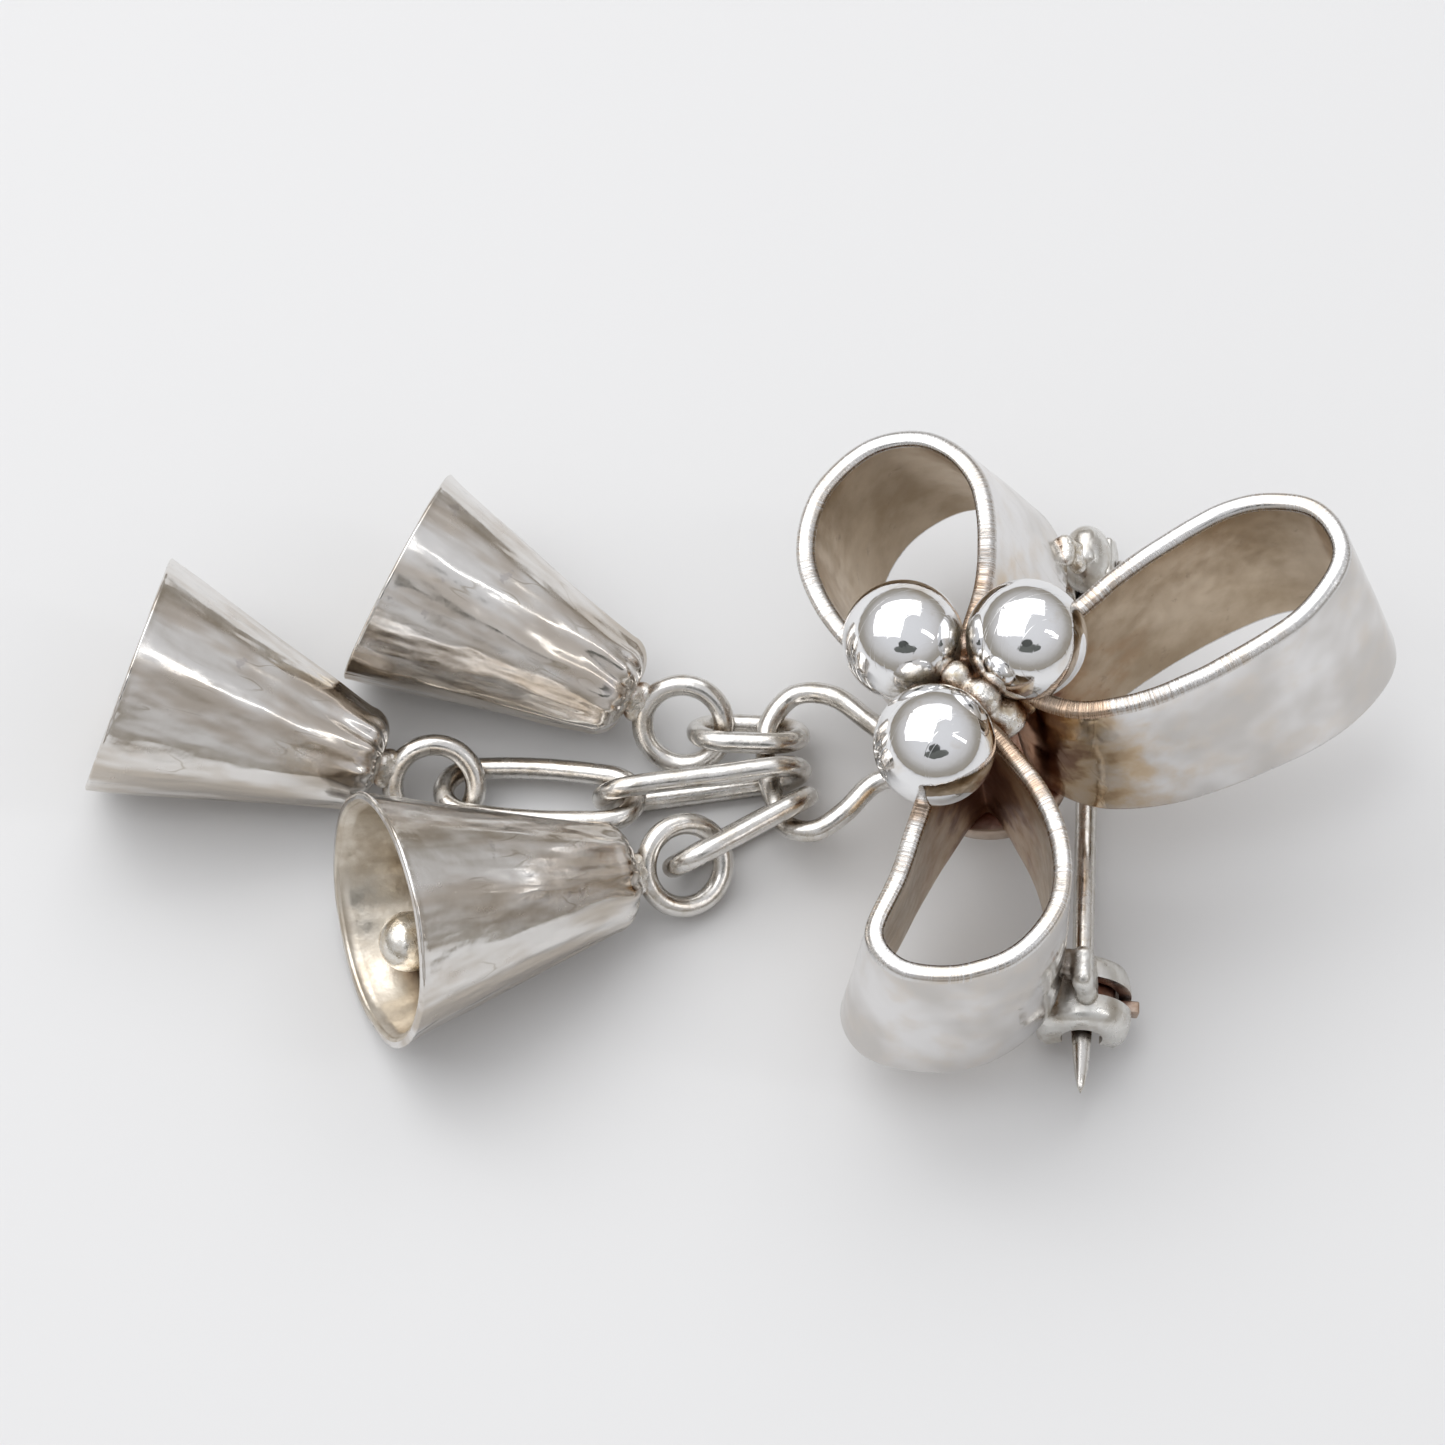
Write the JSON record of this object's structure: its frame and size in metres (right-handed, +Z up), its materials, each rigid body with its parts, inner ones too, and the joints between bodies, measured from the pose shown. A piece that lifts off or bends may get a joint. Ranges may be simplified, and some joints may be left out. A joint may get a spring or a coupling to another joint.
{
  "type": "bell brooch",
  "caption": "Silver ribbon-bow brooch with balls at the knot and cone bells that hang from a wire bail on short oval chains, with a hinged pin and a turning catch on the back.",
  "frame": {"origin": "bottom centre of the bounding box, on the surface that the brooch lies on", "axes": "+Z up, out of the front of the brooch; +X from the bells to the bow, along the longest side; +Y towards the pin's hinge"},
  "size_m": [0.064, 0.0318, 0.0181],
  "materials": {
    "ribbon_silver": "hand-polished silver strip, fine scratches, tarnished inside the loops",
    "ball_silver": "mirror-polished silver",
    "bell_silver": "polished hand-rolled silver with lengthwise creases",
    "wire_silver": "polished round silver wire, a little worn",
    "finding_silver": "satin silver, a little darkened",
    "tarnished_silver": "tarnished silver"
  },
  "bodies": {
    "brooch": {"bow_loop_right": "ribbon_silver", "bow_loop_top": "ribbon_silver", "bow_loop_bottom": "ribbon_silver", "ball_upper_left": "ball_silver", "ball_upper_right": "ball_silver", "ball_lower": "ball_silver", "back_plate": "tarnished_silver", "bail": "wire_silver", "pin_hinge_bracket": "finding_silver", "pin_hinge_rivet": "finding_silver", "catch_barrel": "finding_silver"},
    "pin": {"pin_stem": "finding_silver"},
    "catch_lock": {"catch_rotor": "tarnished_silver"},
    "upper_link": {"chain_link_upper": "wire_silver"},
    "middle_inner_link": {"chain_link_middle_inner": "wire_silver"},
    "middle_outer_link": {"chain_link_middle_outer": "wire_silver"},
    "lower_link": {"chain_link_lower": "wire_silver"},
    "upper_bell": {"upper_bell_loop": "wire_silver", "upper_bell_shell": "bell_silver", "upper_bell_clapper_hook": "tarnished_silver"},
    "upper_clapper": {"upper_bell_clapper": "tarnished_silver"},
    "middle_bell": {"middle_bell_loop": "wire_silver", "middle_bell_shell": "bell_silver", "middle_bell_clapper_hook": "tarnished_silver"},
    "middle_clapper": {"middle_bell_clapper": "tarnished_silver"},
    "lower_bell": {"lower_bell_loop": "wire_silver", "lower_bell_shell": "bell_silver", "lower_bell_clapper_hook": "tarnished_silver"},
    "lower_clapper": {"lower_bell_clapper": "tarnished_silver"}
  },
  "joints": [
    {"name": "pin_swing", "type": "hinge", "parent": "brooch", "child": "pin", "pos_m": [0.01781, 0.0125, 0.00216], "axis": [0.9837, -0.0485, 0.1734], "range_deg": [0, 70]},
    {"name": "catch_turn", "type": "hinge", "parent": "brooch", "child": "catch_lock", "pos_m": [0.01656, -0.0112, 0.00265], "axis": [-0.0528, -0.9984, 0.0206], "range_deg": [0, 70]},
    {"name": "upper_link_swing", "type": "hinge", "parent": "brooch", "child": "upper_link", "pos_m": [0.00147, 0.00361, 0.00212], "axis": [0.1287, 0.9903, 0.052], "range_deg": [-45, 65]},
    {"name": "middle_link_swing", "type": "hinge", "parent": "brooch", "child": "middle_inner_link", "pos_m": [0.00154, 0.00132, 0.00215], "axis": [-0.1373, 0.989, -0.0555], "range_deg": [-60, 0]},
    {"name": "lower_link_swing", "type": "hinge", "parent": "brooch", "child": "lower_link", "pos_m": [0.00201, -0.00073, 0.00234], "axis": [-0.2923, 0.949, -0.1181], "range_deg": [-30, 45]},
    {"name": "middle_outer_swing", "type": "hinge", "parent": "middle_inner_link", "child": "middle_outer_link", "pos_m": [-0.00662, 0.0001, 0.00215], "axis": [0.0307, -0.2056, 0.9781], "range_deg": [0, 10]},
    {"name": "upper_bell_swing", "type": "hinge", "parent": "upper_link", "child": "upper_bell", "pos_m": [-0.00198, 0.00376, 0.00212], "axis": [-0.0292, -0.6685, 0.7431], "range_deg": [-60, 0]},
    {"name": "middle_bell_swing", "type": "hinge", "parent": "middle_outer_link", "child": "middle_bell", "pos_m": [-0.01444, 0.00072, 0.00188], "axis": [-0.0856, -0.9359, 0.3418], "range_deg": [0, 30]},
    {"name": "lower_bell_swing", "type": "hinge", "parent": "lower_link", "child": "lower_bell", "pos_m": [-0.00311, -0.00375, 0.00234], "axis": [0.2064, -0.3505, 0.9135], "range_deg": [-5, 75]},
    {"name": "upper_clapper_swing", "type": "hinge", "parent": "upper_bell", "child": "upper_clapper", "pos_m": [-0.00771, 0.0064, 0.00356], "axis": [0.4179, 0.9085, 0], "range_deg": [0, 36]},
    {"name": "middle_clapper_swing", "type": "hinge", "parent": "middle_bell", "child": "middle_clapper", "pos_m": [-0.02024, 0.00232, 0.00347], "axis": [0.2672, 0.9636, 0], "range_deg": [0, 38]},
    {"name": "lower_clapper_swing", "type": "hinge", "parent": "lower_bell", "child": "lower_clapper", "pos_m": [-0.0078, -0.00531, 0.00369], "axis": [-0.3173, 0.9483, 0], "range_deg": [0, 40]}
  ]
}
